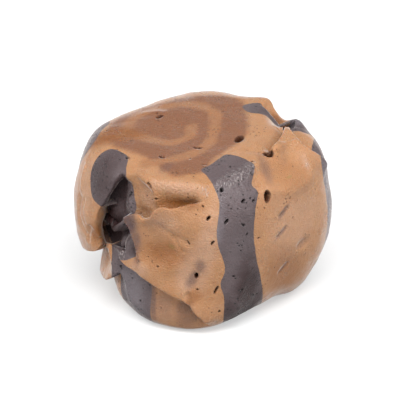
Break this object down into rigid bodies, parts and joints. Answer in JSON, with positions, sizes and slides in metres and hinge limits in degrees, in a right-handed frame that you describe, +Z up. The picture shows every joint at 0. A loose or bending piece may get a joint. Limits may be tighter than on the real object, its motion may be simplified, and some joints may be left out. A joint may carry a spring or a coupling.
{
  "type": "taffy",
  "caption": "Squat piece of swirled taffy with dark stripes running down its folded, creased sides, resting on a flat underside.",
  "frame": {"origin": "middle of the underside of the piece's box, on the surface that it rests on", "axes": "+Z up, out of the swirled top; +X to the right as the front stripe faces the viewer; the front faces -Y"},
  "size_m": [0.0258, 0.0232, 0.0171],
  "materials": {
    "tan_taffy": "soft satin taffy, light tan with a medium brown swirl on the cut top, small pores and wrapper wrinkles",
    "dark_taffy": "soft satin taffy, greyish purple brown, with small pores and fine wrinkles"
  },
  "bodies": {
    "root": {"taffy_body": "tan_taffy", "stripe_front": "dark_taffy", "stripe_front_left": "dark_taffy", "stripe_left": "dark_taffy", "stripe_back": "dark_taffy", "stripe_back_right": "dark_taffy", "stripe_right": "dark_taffy"}
  },
  "joints": []
}
